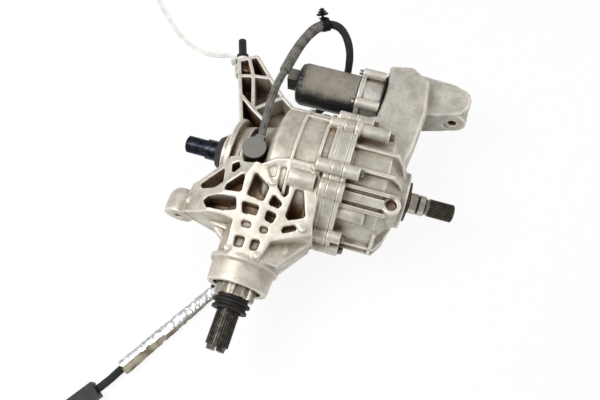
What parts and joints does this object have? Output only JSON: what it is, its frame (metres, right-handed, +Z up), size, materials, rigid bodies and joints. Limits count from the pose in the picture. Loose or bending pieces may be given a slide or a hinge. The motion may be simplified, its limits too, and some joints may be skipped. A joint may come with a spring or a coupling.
{
  "type": "rear differential",
  "caption": "Rear axle drive: ribbed cast housing with splined pinion, bevel differential, two splined outputs, motor-driven locking clutch, mounting arms and harness.",
  "frame": {"origin": "centre of the flat foot under the housing, straight below the crossing of the axle and pinion axes", "axes": "+X along the axle to the right output, -Y along the pinion to its spline, +Z up from the foot"},
  "size_m": [0.6051, 0.7155, 0.2219],
  "materials": {
    "cast": "sand-cast, matt",
    "bolt_steel": "zinc plated, dull",
    "black_seal": "matt",
    "rust_seal": "dull, rusted edge",
    "bearing_steel": "ground",
    "can_paint": "matt, scuffed",
    "black_plastic": "moulded",
    "gasket": "matt",
    "sensor_grey": "moulded",
    "dark_steel": "oiled",
    "nut_steel": "plated",
    "gear_steel": "machined, oiled",
    "case_iron": "cast and machined",
    "plate_steel": "stamped",
    "friction": "paper lining on steel",
    "black_shaft": "blackened",
    "bright_shaft": "ground, worn",
    "grey_lead": "tape-wrapped",
    "conduit": "corrugated",
    "foil": "wrinkled foil",
    "white_nylon": "moulded"
  },
  "bodies": {
    "housing": {"main_housing": "cast", "intermediate_plate": "cast", "right_cover": "cast", "seam_bolts": "bolt_steel", "left_seal": "black_seal", "right_seal": "rust_seal", "pinion_seal": "black_seal", "left_carrier_cup": "bearing_steel", "right_carrier_cup": "bearing_steel", "pinion_head_cup": "bearing_steel", "pinion_tail_cup": "bearing_steel", "idler_pin": "bearing_steel", "motor_can": "can_paint", "motor_end_block": "black_plastic", "motor_adapter": "cast", "motor_gasket": "gasket", "motor_bolts": "bolt_steel", "speed_sensor": "sensor_grey", "service_plugs": "bolt_steel", "arm_stud": "dark_steel", "sensor_lead": "grey_lead", "corrugated_conduit": "conduit", "rear_conduit": "conduit", "conduit_clip": "black_plastic", "foil_sleeve": "foil", "tail_conduit": "conduit", "tail_plug": "black_plastic", "cable_tie": "white_nylon"},
    "pinion": {"drive_pinion": "dark_steel", "pinion_head_cone": "bearing_steel", "pinion_tail_cone": "bearing_steel", "pinion_spacer": "nut_steel", "pinion_nut": "nut_steel", "deflector_inner": "black_seal", "deflector_outer": "black_seal"},
    "carrier": {"differential_case": "case_iron", "ring_gear": "gear_steel", "ring_gear_bolts": "bolt_steel", "cross_pin": "bearing_steel", "left_carrier_cone": "bearing_steel", "right_carrier_cone": "bearing_steel", "clutch_drum": "gear_steel", "outer_plate_1": "plate_steel", "outer_plate_2": "plate_steel", "outer_plate_3": "plate_steel"},
    "spider_top": {"spider_gear_top": "gear_steel"},
    "spider_bottom": {"spider_gear_bottom": "gear_steel"},
    "left_output": {"left_output_shaft": "black_shaft", "side_gear_left": "gear_steel"},
    "right_output": {"right_output_shaft": "bright_shaft", "side_gear_right": "gear_steel", "clutch_hub": "gear_steel", "inner_plate_1": "friction", "inner_plate_2": "friction", "inner_plate_3": "friction"},
    "pressure_ring": {"pressure_plate": "gear_steel"},
    "ball_cage": {"ramp_balls": "gear_steel"},
    "ramp": {"ramp_gear": "gear_steel"},
    "idler": {"idler_gear": "gear_steel"},
    "motor_rotor": {"motor_shaft": "gear_steel"}
  },
  "joints": [
    {"name": "carrier_spin", "type": "hinge", "parent": "housing", "child": "carrier", "pos_m": [0, 0, 0.112], "axis": [1, 0, 0], "continuous": true},
    {"name": "pinion_spin", "type": "hinge", "parent": "housing", "child": "pinion", "pos_m": [0, -0.15, 0.112], "axis": [0, -1, 0], "continuous": true},
    {"name": "left_output_spin", "type": "hinge", "parent": "carrier", "child": "left_output", "pos_m": [-0.06, 0, 0.112], "axis": [1, 0, 0], "continuous": true},
    {"name": "right_output_spin", "type": "hinge", "parent": "carrier", "child": "right_output", "pos_m": [0.06, 0, 0.112], "axis": [1, 0, 0], "continuous": true},
    {"name": "spider_top_spin", "type": "hinge", "parent": "carrier", "child": "spider_top", "pos_m": [0, 0, 0.137], "axis": [0, 0, 1], "continuous": true},
    {"name": "spider_bottom_spin", "type": "hinge", "parent": "carrier", "child": "spider_bottom", "pos_m": [0, 0, 0.087], "axis": [0, 0, 1], "continuous": true},
    {"name": "ramp_turn", "type": "hinge", "parent": "housing", "child": "ramp", "pos_m": [0.156, 0, 0.112], "axis": [1, 0, 0], "range_deg": [0, 28]},
    {"name": "ball_cage_turn", "type": "hinge", "parent": "housing", "child": "ball_cage", "pos_m": [0.15, 0, 0.112], "axis": [1, 0, 0], "range_deg": [0, 14]},
    {"name": "pressure_slide", "type": "slide", "parent": "housing", "child": "pressure_ring", "axis": [-1, 0, 0], "range_m": [0, 0.0012]},
    {"name": "idler_spin", "type": "hinge", "parent": "housing", "child": "idler", "pos_m": [0.156, 0.10708, 0.12609], "axis": [1, 0, 0], "range_deg": [-63.64, 0]},
    {"name": "motor_spin", "type": "hinge", "parent": "housing", "child": "motor_rotor", "pos_m": [0.12, 0.152, 0.132], "axis": [1, 0, 0], "range_deg": [0, 175]}
  ],
  "couplings": [
    {"joint": "pinion_spin", "follows": "carrier_spin", "ratio": -3.1538},
    {"joint": "right_output_spin", "follows": "left_output_spin", "ratio": -1},
    {"joint": "spider_top_spin", "follows": "left_output_spin", "ratio": 1.4},
    {"joint": "spider_bottom_spin", "follows": "left_output_spin", "ratio": -1.4},
    {"joint": "ball_cage_turn", "follows": "ramp_turn", "ratio": 0.5},
    {"joint": "pressure_slide", "follows": "ramp_turn", "m_per_rad": 0.0024555},
    {"joint": "idler_spin", "follows": "ramp_turn", "ratio": -2.2727},
    {"joint": "motor_spin", "follows": "ramp_turn", "ratio": 6.25}
  ]
}
